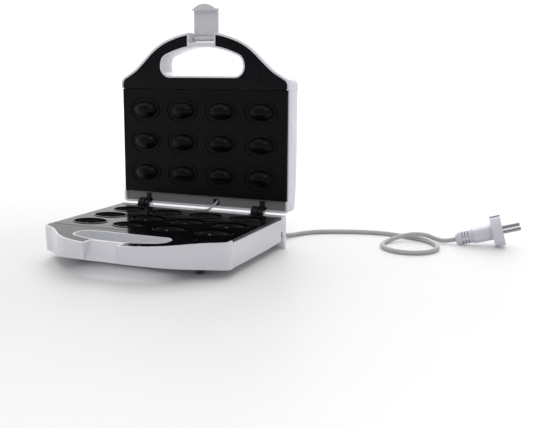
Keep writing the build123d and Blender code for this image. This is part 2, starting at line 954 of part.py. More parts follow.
def make_terminal_screws():
    """The clamping screws in the terminal block's wells."""
    seat = block_top - block_well_depth
    head = block_well_radius - fit_clearance
    return [
        post(head, x, lead_row_y, seat, seat + screw_head_height)
        + post(terminal_screw_radius, x, lead_row_y, seat - terminal_screw_length + fit_clearance, seat)
        for x in block_screw_places()
    ]


def make_base_wiring():
    """Wires between the block, thermostat, fuse and the heater's pins."""
    near, far = heater_rows
    pin_x = heater_open_x - heater_pin_length
    blade = thermostat_radius + sensor_ear
    supply = [(blade, cavity_y, wire_z), (block_x - 3 * cord_radius, cavity_y, wire_z)]
    supply += [(block_x - 3 * cord_radius, wire_row_y, wire_z), (block_x, wire_row_y, wire_z)]
    fused = [(pin_x, far, heater_z), (wire_side_x, far, heater_z), (wire_side_x, far, wire_z)]
    fused += [(fuse_x - fuse_length, far, wire_z), (fuse_x - fuse_length, cavity_y, wire_z)]
    fused += [(fuse_x - fuse_length / 2, cavity_y, wire_z)]
    back = [(pin_x, near, heater_z), (wire_side_x, near, heater_z), (
        wire_side_x, near, -return_wire_depth,
    )]
    back += [(wire_side_x, return_wire_row_y, -return_wire_depth), (
        block_x, return_wire_row_y, -return_wire_depth,
    )]
    wires = [tube(points, wire_radius, wire_bend) for points in (supply, fused, back)]
    wires.append(rod(wire_radius, fuse_x + fuse_length / 2, -blade, cavity_y, wire_z))
    return wires


def make_lid_wiring():
    """Wires from the cable's end to the lamps and the heater, drawn in the lid."""
    x, y, depth = lid_entry
    near, far = heater_rows
    pin_x = heater_open_x - heater_pin_length
    turn_y = y - 2 * wire_radius - fit_clearance
    deep = -(holder_bottom + holder_top) / 2
    lamps = [(x, y, -depth), (x, turn_y, -depth), (x, turn_y, deep), (x, lens_y + holder_width / 2, deep)]
    wires = tube(lamps, wire_radius, wire_bend)
    for row, level in ((far, deep + 2 * wall), (near, deep + wall)):
        route = [(x, turn_y, level), (wire_side_x, turn_y, level), (wire_side_x, row, level)]
        route += [(wire_side_x, row, heater_z), (pin_x, row, heater_z)]
        wires += tube(route, wire_radius, wire_bend)
    return wires


def make_interconnect_cable():
    """The thin cable that comes up between the halves, behind the lower plate."""
    route = [
        (block_x, -1.5, -19.0),
        (-6.0, -1.5, -19.0),
        (-14.0, 5.5, -12.0),
        (-12.5, 6.5, -5.0),
        (-6.0, 8.5, 0.9),
        (9.5, 12.0, 1.6),
        (17.5, 16.0, 6.4),
        (20.0, 24.0, 11.0),
        open_point(lid_entry[0], 0, lid_entry[2]),
        open_point(*lid_entry),
    ]
    return tube(route, cable_radius, arc_radii(route))


# Hinges and latch

def hinge_bracket(start, width, side, half, radius):
    """A bracket with a floor flange, a column, an arm through the rear wall and a knuckle."""
    end = start + width
    flange = (start - bracket_flange, end) if side < 0 else (start, end + bracket_flange)
    foot = -half.pad_depth
    bracket = span(*flange, bracket_front, bracket_back, foot, foot + flange_thickness)
    bracket += span(start, end, bracket_front, bracket_back, foot, -bracket_top_gap)
    bracket += span(start, end, arm_start_y, hinge_y, -radius, -bracket_top_gap)
    bracket += rod(radius, start, end, hinge_y, 0)
    bracket -= rod(hinge_pin_radius + running_clearance, start, end, hinge_y, 0)
    screw_x = start - bracket_screw_reach if side < 0 else end + bracket_screw_reach
    return bracket - post(
        screw_radius + fit_clearance, screw_x, bracket_middle, foot, foot + flange_thickness,
    )


def bracket_screw_set(half, reach):
    """One screw for each bracket of a half."""
    seat = flange_thickness - half.pad_depth
    length = flange_thickness + short_pilot_depth - fit_clearance
    return [screw(start + reach, bracket_middle, seat, length) for start in hinge_lower_starts]


def hinge_pin(start):
    """A headed pin through both knuckles."""
    end = start + lower_lug_width + lug_gap + upper_lug_width + lug_gap
    pin = rod(hinge_pin_radius, start, end + 2 * pin_clip_thickness, hinge_y, 0)
    return pin + rod(hinge_pin_head_radius, start - hinge_pin_head, start, hinge_y, 0)


def hinge_pin_clips():
    """The rings that keep the hinge pins in."""
    clips = []
    for start in hinge_lower_starts:
        end = start + lower_lug_width + lug_gap + upper_lug_width + lug_gap
        ring = rod(pin_clip_radius, end, end + pin_clip_thickness, hinge_y, 0)
        clips.append(
            ring - rod(hinge_pin_radius + running_clearance, end, end + pin_clip_thickness, hinge_y, 0),
        )
    return clips


def rear_trim(back, cable_slot):
    """The strip that covers the compartment behind a plate, open round the hinges and the cable."""
    half = shell_half - wall - fit_clearance
    band = (-trim_depth - trim_thickness, -trim_depth)
    strip = span(-half, half, trim_clearance, back - wall - fit_clearance, *band)
    corners = strip.edges().filter_by(Axis.Z).sort_by(Axis.Y)[-2:]
    strip = fillet(corners, rear_corner_radius - wall)
    cuts = [span(*cable_slot, cable_slot_front, back, *band)]
    for start in hinge_lower_starts:
        end = start + lower_lug_width + lug_gap + upper_lug_width
        knuckle_front = hinge_y - knuckle_radius - trim_clearance
        cuts.append(span(start - hinge_window, end + hinge_window, knuckle_front, back, *band))
    return strip - cuts


def column_slots(start, width):
    """Openings in a rear trim for the hinge columns, which stand through it."""
    band = (-trim_depth - trim_thickness, -trim_depth)
    front = bracket_front - trim_clearance
    slots = []
    for first in hinge_lower_starts:
        low = first + start - trim_clearance
        high = first + start + width + trim_clearance
        slots.append(span(low, high, front, hinge_y, *band))
    return slots


def make_latch_clip():
    """The latch clip standing open, in line with the lid: barrel, plate, hook and thumb tab."""
    pivot = (-latch_pivot_reach, -latch_pivot_height)
    half = latch_width / 2
    face = pivot[1] + latch_face_offset
    back = face - latch_thickness
    root = latch_hook_start - latch_hook_thickness
    clip = rod(latch_barrel_radius, -half, half, *pivot)
    clip += span(-half, half, pivot[0] - latch_hook_start, pivot[0], back, face)
    hook = rod(
        latch_hook_start + latch_hook_thickness, -latch_hook_width / 2, latch_hook_width / 2, *pivot,
    )
    hook -= rod(latch_hook_start, -latch_hook_width / 2, latch_hook_width / 2, *pivot)
    clip += hook & span(
        -half, half + wall, -2 * latch_pivot_reach, pivot[0] - root, back, face + latch_hook_drop,
    )
    brim_y = pivot[0] - latch_hook_start
    arch = ThreePointArc((-half, brim_y), (0, pivot[0] - latch_tab_reach), (half, brim_y))
    tab = make_face(arch + Line((half, brim_y), (-half, brim_y)))
    clip += Pos(0, 0, face + latch_hook_drop) * drop(tab, latch_thickness)
    groove_y = pivot[0] - latch_barrel_radius - latch_groove
    groove_floor = face - latch_groove
    cuts = [
        rod(latch_pin_radius + latch_pin_clearance, -half, half, *pivot),
        span(
            latch_groove_inset - half, half - latch_groove_inset,
            groove_y - latch_groove, groove_y, groove_floor, face + wall,
        ),
        span(
            -latch_slit_half, latch_slit_half, groove_y - latch_slit_length, groove_y,
            groove_floor, face + wall,
        ),
    ]
    return clip - cuts


def make_latch_pin():
    """The pin that crosses the lid's notch and carries the latch clip."""
    seat = notch_half + latch_pin_seat
    return rod(latch_pin_radius, -seat, seat, -latch_pivot_reach, -latch_pivot_height)


# Small pieces

def make_foot(x):
    """A rubber foot with a barbed stem."""
    inner_floor = slope_z(base_half, foot_y - foot_barb_radius) + fit_clearance
    foot = post(foot_radius, x, foot_y, -floor_height, -base_depth)
    foot += post(foot_stem_radius, x, foot_y, -base_depth, inner_floor + foot_barb)
    return foot + post(foot_barb_radius, x, foot_y, inner_floor, inner_floor + foot_barb)


def make_cord_clamp():
    """The bar that holds the cord's inner lead on the shell's saddle."""
    low = lead_z + cord_radius + running_clearance
    reach = clamp_screw_reach + clamp_bar_half
    bar = span(
        cord_clamp_x - clamp_bar_half, cord_clamp_x + clamp_bar_half,
        lead_row_y - reach, lead_row_y + reach,
        low, low + clamp_bar_thickness,
    )
    rows_y = (lead_row_y - clamp_screw_reach, lead_row_y + clamp_screw_reach)
    hole = screw_radius + fit_clearance
    return bar - [post(hole, cord_clamp_x, y, low, low + clamp_bar_thickness) for y in rows_y]


def cord_clamp_screw_set():
    """Two screws through the cord clamp's bar."""
    seat = lead_z + cord_radius + running_clearance + clamp_bar_thickness
    length = clamp_bar_thickness + short_pilot_depth - fit_clearance
    return [screw(cord_clamp_x, lead_row_y + side * clamp_screw_reach, seat, length) for side in (-1, 1)]


def make_lens(x):
    """An indicator lens through the lid's outer face, with an inner flange."""
    inner = slope_z(lid_half, lens_y - lens_radius - lens_flange)
    lens = post(lens_radius, x, lens_y, inner - wall - lens_stand, inner + lens_flange)
    return lens + post(lens_radius + lens_flange, x, lens_y, inner, inner + lens_flange)


def make_lamp_holder():
    """A small bridge over the lenses that carries both lamps."""
    y0 = lens_y - holder_width / 2
    y1 = lens_y + holder_width / 2
    holder = span(-holder_half, holder_half, y0, y1, -holder_bottom, -holder_top)
    floor = slope_z(lid_half, y0)
    holder += both_sides(span(holder_half, holder_half + holder_leg, y0, y1, floor, -holder_top))
    holder += span(-holder_half, lid_entry[0] + 2 * wire_radius, y0, y1, -holder_bottom, -holder_top)
    return holder - both_sides(
        post(lamp_radius + running_clearance, lens_x, lens_y, -holder_bottom, -holder_top),
    )


def make_lamps():
    """Two indicator lamps in their holder, each behind its lens."""
    return both_sides(post(lamp_radius, lens_x, lens_y, -holder_bottom, -lamp_top))


# Power cord and plug

# The cord as it lies in the photograph: x, y and height above the floor of each turn.
cord_route = [
    (4.9, 34.6, 12.2),
    (8.1, 46.4, 7.7),
    (12.0, 59.0, 4.2),
    (17.0, 72.0, 2.75),
    (24.5, 86.5, 2.75),
    (37.0, 101.0, 2.75),
    (59.0, 112.5, 2.75),
    (89.0, 123.5, 2.75),
    (119.0, 128.5, 2.75),
    (149.0, 122.5, 2.75),
    (180.0, 111.5, 2.75),
    (200.0, 90.0, 2.75),
    (206.0, 64.0, 2.75),
    (193.0, 41.0, 2.75),
    (168.5, 34.5, 2.75),
    (147.0, 45.5, 2.75),
    (136.5, 66.0, 2.75),
    (138.5, 88.0, 2.75),
    (148.0, 102.0, 5.2),
    (164.0, 109.5, 9.3),
    (182.0, 112.3, 9.1),
    (193.5, 111.2, 4.8),
    (206.2, 111.3, 3.1),
    (218.2, 113.3, 6.4),
]
cord_points = [Vector(gland_x + x, y, height - floor_height) for x, y, height in cord_route]


def arc_radii(points):
    """The largest even bend at each turn of a route: 0.45 of the shorter run over tan(turn / 2)."""
    places = [Vector(*point) for point in points]
    radii = []
    for before, here, after in zip(places, places[1:], places[2:]):
        turn = math.radians((here - before).get_angle(after - here))
        radii.append(0.45 * min((here - before).length, (after - here).length) / math.tan(turn / 2))
    return radii


def make_gland():
    """The strain relief in the rear wall: a body in its hole, a flange and a tapered sleeve."""
    flange_front = wall_y(gland_depth + gland_flange_radius)
    flange_back = flange_front + gland_flange
    gland = rear_rod(gland_body_radius, gland_x, inner_rear, flange_back, lead_z)
    gland += rear_rod(gland_flange_radius, gland_x, flange_front, flange_back, lead_z)
    way = (cord_points[1] - cord_points[0]).normalized()
    length = relief_length + gland_flange
    root = Plane(origin=cord_points[0] - way * length, z_dir=way)
    sleeve = root * Pos(0, 0, length / 2) * Cone(relief_root_radius, relief_tip_radius, length)
    sleeve -= span(
        gland_x - 2 * relief_length, gland_x + 2 * relief_length, 0, flange_front, -2 * floor_height, 0,
    )
    return gland + sleeve


def plug_plane():
    """The plug's own frame: z along the plug away from the cord, x level across it."""
    way = (cord_points[-1] - cord_points[-2]).normalized()
    level = Vector(way.Y, -way.X, 0).normalized()
    return Plane(origin=cord_points[-1], x_dir=level, z_dir=way)


def on_plug(part):
    """Places a piece of the plug, drawn upright, at the cord's end."""
    return plug_plane() * Rot(0, 0, plug_roll) * part


def make_plug_relief():
    """The slotted neck where the cord enters the plug."""
    neck = Pos(0, 0, neck_taper / 2) * Cone(neck_tip_radius, neck_radius, neck_taper)
    neck += Pos(0, 0, (neck_taper + neck_length) / 2) * Cylinder(neck_radius, neck_length - neck_taper)
    rib = 2 * neck_rib_half
    for low in neck_slots:
        ring = Cylinder(neck_radius + wall, neck_slot_width) - Cylinder(neck_slot_floor, neck_slot_width)
        ring -= Box(3 * neck_radius, rib, neck_slot_width)
        ring -= Box(rib, 3 * neck_radius, neck_slot_width)
        neck -= Pos(0, 0, low + neck_slot_width / 2) * ring
    return on_plug(neck)


def make_plug_body():
    """The plug's collar, grip and disc, with two flats, earth channels and pin holes."""
    disc_end = grip_end + disc_thickness
    body = post(collar_radius, 0, 0, neck_length, neck_length + collar_length)
    grip = RectangleRounded(grip_width, grip_height, grip_round)
    body += Pos(0, 0, neck_length + collar_length) * extrude(
        grip, grip_end - neck_length - collar_length, dir=(0, 0, 1),
    )
    disc = post(disc_radius, 0, 0, grip_end, disc_end)
    disc &= span(-disc_flat, disc_flat, -disc_radius, disc_radius, grip_end, disc_end)
    body += disc
    half = earth_width / 2
    for side in (-1, 1):
        bottom = side * (disc_radius - earth_depth)
        body -= span(-half, half, bottom, side * (disc_radius + wall), grip_end, disc_end)
        body -= post(pin_radius, side * pin_spacing / 2, 0, disc_end - pin_seat, disc_end)
    return on_plug(body)


def make_plug_pins():
    """Two round contact pins with rounded tips."""
    disc_end = grip_end + disc_thickness
    pins = []
    for side in (-1, 1):
        pin = post(pin_radius, side * pin_spacing / 2, 0, disc_end - pin_seat, disc_end + pin_length)
        pin = fillet(pin.edges().sort_by(Axis.Z)[-1], pin_tip_round)
        pins.append(on_plug(pin))
    return pins


def make_plug_earths():
    """The earth contact strip in each channel of the plug's disc."""
    strips = []
    half = earth_width / 2 - fit_clearance
    for side in (-1, 1):
        bottom = side * (disc_radius - earth_depth)
        strip = span(
            -half, half, bottom, bottom + side * earth_strip, grip_end, grip_end + disc_thickness,
        )
        strips.append(on_plug(strip))
    return strips


def make_inner_lead():
    """The cord's inner end, from the gland round to the terminal block."""
    block_end = block_x + block_length
    points = [(gland_x, inner_rear, lead_z), (gland_x, lead_row_y, lead_z), (
        block_end, lead_row_y, lead_z,
    )]
    return tube(points, cord_radius, lead_bend)


# All the pieces, by name

left_start, right_start = hinge_lower_starts
lid_start = lower_lug_width + lug_gap
lid_screw_reach = lid_start + upper_lug_width + bracket_screw_reach
cord_bends = arc_radii(cord_route)

base_pieces = {
    "base_shell": make_base_shell(),
    "base_handle_panel": handle_panel(recess_half + recess_wall, recess_y(0, recess_wall)),
    "lower_plate": make_lower_plate(),
    "lower_heater": make_heater(),
    "lower_heater_clamps": make_heater_clamps(),
    "lower_clamp_screws": clamp_screw_set(),
    "lower_heat_reflector": make_reflector(base_half),
    "lower_plate_screws": plate_screw_set(),
    "base_panel_screws": panel_screw_set(),
    "front_left_foot": make_foot(-foot_x),
    "front_right_foot": make_foot(foot_x),
    "left_base_hinge": hinge_bracket(left_start, lower_lug_width, -1, base_half, knuckle_radius),
    "right_base_hinge": hinge_bracket(right_start, lower_lug_width, -1, base_half, knuckle_radius),
    "base_hinge_screws": bracket_screw_set(base_half, -bracket_screw_reach),
    "left_hinge_pin": hinge_pin(left_start),
    "right_hinge_pin": hinge_pin(right_start),
    "hinge_pin_clips": hinge_pin_clips(),
    "terminal_block": make_terminal_block(),
    "terminal_screws": make_terminal_screws(),
    "thermostat": make_thermostat(),
    "thermal_fuse": make_thermal_fuse(),
    "base_wiring": make_base_wiring(),
    "inner_lead": make_inner_lead(),
    "cord_clamp": make_cord_clamp(),
    "cord_clamp_screws": cord_clamp_screw_set(),
    "interconnect_cable": make_interconnect_cable(),
    "base_rear_trim": rear_trim(rear_wall_top, base_cable_slot) - column_slots(0, lower_lug_width),
}
cord_pieces = {
    "cord_gland": make_gland(),
    "power_cord": tube(cord_points, cord_radius, cord_bends),
    "plug_relief": make_plug_relief(),
    "plug_body": make_plug_body(),
    "plug_pins": make_plug_pins(),
    "plug_earth_contacts": make_plug_earths(),
}
lid_pieces = {
    "lid_shell": make_lid_shell(),
    "lid_handle_panel": handle_panel(notch_half + notch_wall, -notch_floor_reach + notch_floor_wall),
    "upper_plate": make_upper_plate(),
    "upper_heater": make_heater(),
    "upper_heater_clamps": make_heater_clamps(),
    "upper_clamp_screws": clamp_screw_set(),
    "upper_heat_reflector": make_reflector(lid_half),
    "upper_plate_screws": plate_screw_set(),
    "lid_panel_screws": panel_screw_set(),
    "left_lid_hinge": hinge_bracket(
        left_start + lid_start, upper_lug_width, 1, lid_half, lid_knuckle_radius,
    ),
    "right_lid_hinge": hinge_bracket(
        right_start + lid_start, upper_lug_width, 1, lid_half, lid_knuckle_radius,
    ),
    "lid_hinge_screws": bracket_screw_set(lid_half, lid_screw_reach),
    "power_light_lens": make_lens(-lens_x),
    "ready_light_lens": make_lens(lens_x),
    "lamp_holder": make_lamp_holder(),
    "indicator_lamps": make_lamps(),
    "lid_wiring": make_lid_wiring(),
    "latch_pin": make_latch_pin(),
    "lid_rear_trim": rear_trim(lid_rear_wall, lid_cable_slot) - column_slots(lid_start, upper_lug_width),
    "latch_clip": make_latch_clip(),
}


def gathered(piece):
    """One shape from a solid or a list of solids."""
    if isinstance(piece, list):
        return Compound(children=[Part() + one for one in piece])
    return piece


body_pieces = {name: gathered(piece) for name, piece in base_pieces.items()}
body_pieces |= {name: swing_open(gathered(piece)) for name, piece in lid_pieces.items()}
boxes = [piece.bounding_box() for piece in body_pieces.values()]
middle = (min(box.min.Y for box in boxes) + max(box.max.Y for box in boxes)) / 2
shift = Pos(0, -middle, floor_height)

os.makedirs("parts", exist_ok=True)
for name, piece in (body_pieces | {name: gathered(piece) for name, piece in cord_pieces.items()}).items():
    export_step(shift * piece, f"parts/{name}.step")

cord_path = FilletPolyline(*cord_points, radius=cord_bends)
section = math.pi * cord_radius ** 2
print("cord bend radii", [round(radius, 1) for radius in cord_bends])
print("cord length", round(cord_path.length, 1))
print("cord volume over section times length", round(
    cord_pieces["power_cord"].volume / (section * cord_path.length), 5,
))
print("shift in y", round(-middle, 3), "hinge", round(hinge_y - middle, 3), floor_height)
latch_place = open_point(0, -latch_pivot_reach, latch_pivot_height)
print("latch pivot", round(latch_place[1] - middle, 3), round(latch_place[2] + floor_height, 3))
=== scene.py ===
import json
import math

import bpy
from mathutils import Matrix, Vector


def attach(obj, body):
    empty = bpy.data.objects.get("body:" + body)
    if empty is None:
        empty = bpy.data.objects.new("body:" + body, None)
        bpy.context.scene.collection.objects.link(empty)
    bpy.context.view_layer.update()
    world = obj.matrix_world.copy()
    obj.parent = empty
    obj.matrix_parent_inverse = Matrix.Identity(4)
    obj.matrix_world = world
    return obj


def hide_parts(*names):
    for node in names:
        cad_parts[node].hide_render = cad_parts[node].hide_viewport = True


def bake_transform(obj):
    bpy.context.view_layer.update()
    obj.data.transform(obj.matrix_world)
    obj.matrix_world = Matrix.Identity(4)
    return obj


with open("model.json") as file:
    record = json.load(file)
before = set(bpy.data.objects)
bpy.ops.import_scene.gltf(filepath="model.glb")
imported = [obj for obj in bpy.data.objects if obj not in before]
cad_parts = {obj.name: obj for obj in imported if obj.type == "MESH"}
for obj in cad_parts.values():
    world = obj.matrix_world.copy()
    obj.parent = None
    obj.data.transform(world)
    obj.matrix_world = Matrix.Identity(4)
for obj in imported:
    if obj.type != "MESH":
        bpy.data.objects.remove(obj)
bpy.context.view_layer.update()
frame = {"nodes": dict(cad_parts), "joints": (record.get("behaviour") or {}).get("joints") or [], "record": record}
nodes = frame["nodes"]

# The working frame of the measurements: its origin is the lower plate's rear edge, on the parting plane.
HINGE_BEHIND_PLATE = 0.016
FLOOR_BELOW_PARTING = 0.040
hinge = next(joint for joint in frame["joints"] if joint["name"] == "lid_hinge")
plate_rear = hinge["pos_m"][1] - HINGE_BEHIND_PLATE


def at(x, y, z):
    """A point given in millimetres in the working frame, as a point of the row frame in metres."""
    return Vector((x / 1000, y / 1000 + plate_rear, z / 1000 + FLOOR_BELOW_PARTING))


def above_floor(x, y, height):
    """A point given in millimetres like those of at, with its height over the floor."""
    return at(x, y, height - 1000 * FLOOR_BELOW_PARTING)


# Camera

# Its place is in the working frame, its turn and tilt are in degrees, its lens and sensor in millimetres,
# and its reach, from the nearest thing that it sees to the farthest, in metres.
CAMERA_PLACE = (461.7, -820.5, 177.9)
CAMERA_TURN = 23.357
CAMERA_DOWN = 11.045
CAMERA_LENS = 49.907
CAMERA_SENSOR = 36.0
CAMERA_REACH = (0.01, 50.0)


def make_camera():
    """The photograph's camera."""
    data = bpy.data.cameras.new("camera")
    data.lens = CAMERA_LENS
    data.sensor_width = CAMERA_SENSOR
    data.clip_start, data.clip_end = CAMERA_REACH
    camera = bpy.data.objects.new("camera", data)
    bpy.context.scene.collection.objects.link(camera)
    turn = math.radians(CAMERA_TURN)
    down = math.radians(CAMERA_DOWN)
    forward = Vector((-math.sin(turn) * math.cos(down), math.cos(turn) * math.cos(down), -math.sin(down)))
    camera.location = at(*CAMERA_PLACE)
    camera.rotation_mode = "QUATERNION"
    camera.rotation_quaternion = forward.to_track_quat("-Z", "Y")
    bpy.context.scene.camera = camera


# Materials

# Noise textures: scale and detail.
TONE_NOISE = (9.0, 4.0)
MOULDED_NOISE = (900.0, 2.0)
METAL_NOISE = (300.0, 5.0)
COATING_NOISE = (1400.0, 3.0)
CLEAR_NOISE = (400.0, 4.0)
FLOOR_NOISE = (3.0, 4.0)

# Reliefs: strength and depth in metres. Each plastic has its own strength.
MOULDED_DEPTH = 0.0002
METAL_RELIEF = (0.05, 0.0001)
COATING_RELIEF = (0.08, 0.00015)
CLEAR_RELIEF = (0.05, 0.0002)

# How far the roughness drifts, as shares of its value. The fine one is for metals and coatings.
MOULDED_DRIFT = (0.85, 1.15)
FINE_DRIFT = (0.8, 1.2)

TONE_LIMITS = (0.3, 0.7)
COAT_ROUGHNESS = 0.1
CLEAR_ROUGHNESS = 0.08
CLEAR_TRANSMISSION = 0.7
USUAL_GLOSS = 0.5
EVEN = (1, 1, 1)

# Plastics and rubbers: name, darker tone, lighter tone, roughness, relief, coat, gloss.
MOULDED = [
    ("white_shell", (0.64, 0.645, 0.695), (0.66, 0.665, 0.715), 0.25, 0.03, 0.2, USUAL_GLOSS),
    # trim_grey is painted shade: the rear trims' dark grey stands for the deep shade in the strip behind the
    # plates.
    ("trim_grey", (0.14, 0.14, 0.145), (0.18, 0.18, 0.185), 0.35, 0.05, 0.0, USUAL_GLOSS),
    ("black_panel", (0.002, 0.002, 0.003), (0.003, 0.003, 0.005), 0.12, 0.02, 0.0, 0.15),
    ("foot_rubber", (0.05, 0.05, 0.055), (0.08, 0.08, 0.085), 0.7, 0.2, 0.0, USUAL_GLOSS),
    ("hinge_black", (0.003, 0.003, 0.004), (0.006, 0.006, 0.007), 0.4, 0.1, 0.0, 0.25),
    ("terminal_plastic", (0.55, 0.55, 0.5), (0.62, 0.62, 0.58), 0.5, 0.05, 0.0, USUAL_GLOSS),
    ("wire_sleeve", (0.5, 0.5, 0.48), (0.6, 0.6, 0.58), 0.6, 0.15, 0.0, USUAL_GLOSS),
    ("cord_grey", (0.41, 0.39, 0.41), (0.46, 0.44, 0.46), 0.38, 0.1, 0.0, USUAL_GLOSS),
    ("plug_grey", (0.58, 0.58, 0.64), (0.64, 0.64, 0.70), 0.35, 0.1, 0.0, USUAL_GLOSS),
    ("latch_plastic", (0.54, 0.54, 0.58), (0.58, 0.58, 0.62), 0.35, 0.05, 0.0, USUAL_GLOSS),
]

# Metals: name, darker tone, lighter tone, roughness, stretch of the streaks.
METALS = [
    ("heater_steel", (0.12, 0.12, 0.13), (0.25, 0.25, 0.27), 0.45, EVEN),
    ("zinc_steel", (0.45, 0.45, 0.46), (0.6, 0.6, 0.62), 0.35, EVEN),
    ("reflector", (0.6, 0.6, 0.61), (0.75, 0.75, 0.77), 0.25, (1, 12, 1)),
    ("black_screw", (0.006, 0.006, 0.006), (0.012, 0.012, 0.012), 0.35, EVEN),
    ("sensor_steel", (0.45, 0.45, 0.45), (0.65, 0.65, 0.65), 0.3, EVEN),
    ("plug_metal", (0.25, 0.25, 0.26), (0.4, 0.4, 0.42), 0.22, (8, 8, 1)),
]

# Non-stick coatings: name, darker tone, lighter tone, roughness, gloss.
COATINGS = [
    ("non_stick", (0.0015, 0.0015, 0.002), (0.003, 0.003, 0.0035), 0.14, 0.25),
    ("non_stick_domes", (0.0015, 0.0015, 0.002), (0.0025, 0.0025, 0.003), 0.32, 0.1),
]

# Tinted clear plastic and glass: name, colour.
CLEARS = [
    ("lens_red", (0.6, 0.03, 0.02)),
    ("lens_green", (0.05, 0.45, 0.08)),
    ("lamp_glass", (0.8, 0.8, 0.75)),
]

# The domes are a duller casting than the lower plate.
OWN_FINISH = {"upper_plate": "non_stick_domes"}

# The shells' edges: lengths in metres, and the least angle that counts as sharp in degrees.
EDGE_RADIUS = 0.0003
EDGE_SEGMENTS = 3
SHARP_EDGE = 35.0
WELD_DISTANCE = 0.000002


def new_material(name, colour, roughness, metallic=0.0, coat=0.0, gloss=USUAL_GLOSS):
    """A principled material and its shader node."""
    material = bpy.data.materials.new(name)
    material.use_nodes = True
    shader = material.node_tree.nodes["Principled BSDF"]
    shader.inputs["Base Color"].default_value = (*colour, 1.0)
    shader.inputs["Roughness"].default_value = roughness
    shader.inputs["Metallic"].default_value = metallic
    shader.inputs["Coat Weight"].default_value = coat
    shader.inputs["Coat Roughness"].default_value = COAT_ROUGHNESS
    shader.inputs["Specular IOR Level"].default_value = gloss
    return material, shader


def add_noise(material, texture, stretch=EVEN):
    """A noise texture on object coordinates."""
    tree = material.node_tree
    coordinates = tree.nodes.new("ShaderNodeTexCoord")
    mapping = tree.nodes.new("ShaderNodeMapping")
    mapping.inputs["Scale"].default_value = stretch
    noise = tree.nodes.new("ShaderNodeTexNoise")
    scale, detail = texture
    noise.inputs["Scale"].default_value = scale
    noise.inputs["Detail"].default_value = detail
    tree.links.new(coordinates.outputs["Object"], mapping.inputs["Vector"])
    tree.links.new(mapping.outputs["Vector"], noise.inputs["Vector"])
    return noise


def vary_colour(material, shader, noise, low, high):
    """Colour that drifts between two close tones."""
    tree = material.node_tree
    ramp = tree.nodes.new("ShaderNodeValToRGB")
    for stop, position, tone in zip(ramp.color_ramp.elements, TONE_LIMITS, (low, high)):
        stop.position = position
        stop.color = (*tone, 1.0)
    tree.links.new(noise.outputs["Fac"], ramp.inputs["Fac"])
    tree.links.new(ramp.outputs["Color"], shader.inputs["Base Color"])


def vary_roughness(material, shader, noise, roughness, drift):
    """Roughness that drifts round its value."""
    tree = material.node_tree
    band = tree.nodes.new("ShaderNodeMapRange")
    band.inputs["To Min"].default_value = roughness * drift[0]
    band.inputs["To Max"].default_value = roughness * drift[1]
    tree.links.new(noise.outputs["Fac"], band.inputs["Value"])
    tree.links.new(band.outputs["Result"], shader.inputs["Roughness"])


def add_relief(material, shader, noise, strength, depth):
    """Fine relief from a texture."""
    tree = material.node_tree
    bump = tree.nodes.new("ShaderNodeBump")
    bump.inputs["Strength"].default_value = strength
    bump.inputs["Distance"].default_value = depth
    tree.links.new(noise.outputs["Fac"], bump.inputs["Height"])
    tree.links.new(bump.outputs["Normal"], shader.inputs["Normal"])


def moulded(name, low, high, roughness, relief, coat, gloss):
    """Moulded plastic or rubber: two close tones, uneven gloss and a fine skin."""
    material, shader = new_material(name, high, roughness, coat=coat, gloss=gloss)
    tones = add_noise(material, TONE_NOISE)
    vary_colour(material, shader, tones, low, high)
    vary_roughness(material, shader, tones, roughness, MOULDED_DRIFT)
    skin = add_noise(material, MOULDED_NOISE)
    add_relief(material, shader, skin, relief, MOULDED_DEPTH)
    return material


def metal(name, low, high, roughness, stretch):
    """Metal with fine streaks."""
    material, shader = new_material(name, high, roughness, metallic=1.0)
    streaks = add_noise(material, METAL_NOISE, stretch)
    vary_colour(material, shader, streaks, low, high)
    vary_roughness(material, shader, streaks, roughness, FINE_DRIFT)
    add_relief(material, shader, streaks, *METAL_RELIEF)
    return material


def coating(name, low, high, roughness, gloss):
    """Non-stick coating: black and glossy, with a fine pebbled skin."""
    material, shader = new_material(name, high, roughness, gloss=gloss)
    skin = add_noise(material, COATING_NOISE)
    vary_colour(material, shader, skin, low, high)
    vary_roughness(material, shader, skin, roughness, FINE_DRIFT)
    add_relief(material, shader, skin, *COATING_RELIEF)
    return material


def clear(name, colour):
    """Tinted clear plastic or glass, with a faint unevenness."""
    material, shader = new_material(name, colour, CLEAR_ROUGHNESS)
    shader.inputs["Transmission Weight"].default_value = CLEAR_TRANSMISSION
    waves = add_noise(material, CLEAR_NOISE)
    add_relief(material, shader, waves, *CLEAR_RELIEF)
    return material


materials = {}
for make, rows in ((moulded, MOULDED), (metal, METALS), (coating, COATINGS), (clear, CLEARS)):
    for row in rows:
        materials[row[0]] = make(*row)


def dress_nodes():
    """Gives each CAD node its finish."""
    slots = {entry["node"]: entry["material_slot"] for entry in frame["record"]["subparts"]}
    for name, node in nodes.items():
        node.data.materials.clear()
        node.data.materials.append(materials[OWN_FINISH.get(name, slots[name])])


def ease_edges(name):
    """Welds a CAD node's mesh and rounds its sharp edges a little."""
    node = nodes[name]
    weld = node.modifiers.new("weld", "WELD")
    weld.merge_threshold = WELD_DISTANCE
    bevel = node.modifiers.new("bevel", "BEVEL")
    bevel.width = EDGE_RADIUS
    bevel.segments = EDGE_SEGMENTS
    bevel.limit_method = "ANGLE"
    bevel.angle_limit = math.radians(SHARP_EDGE)
    bevel.use_clamp_overlap = True
    bevel.harden_normals = True
    for polygon in node.data.polygons:
        polygon.use_smooth = True


# Power cord

# In metres.
CORD_DIAMETER = 0.0055

# Where the cord lies on the floor, its centre line is half its diameter up.
LYING = 2.75

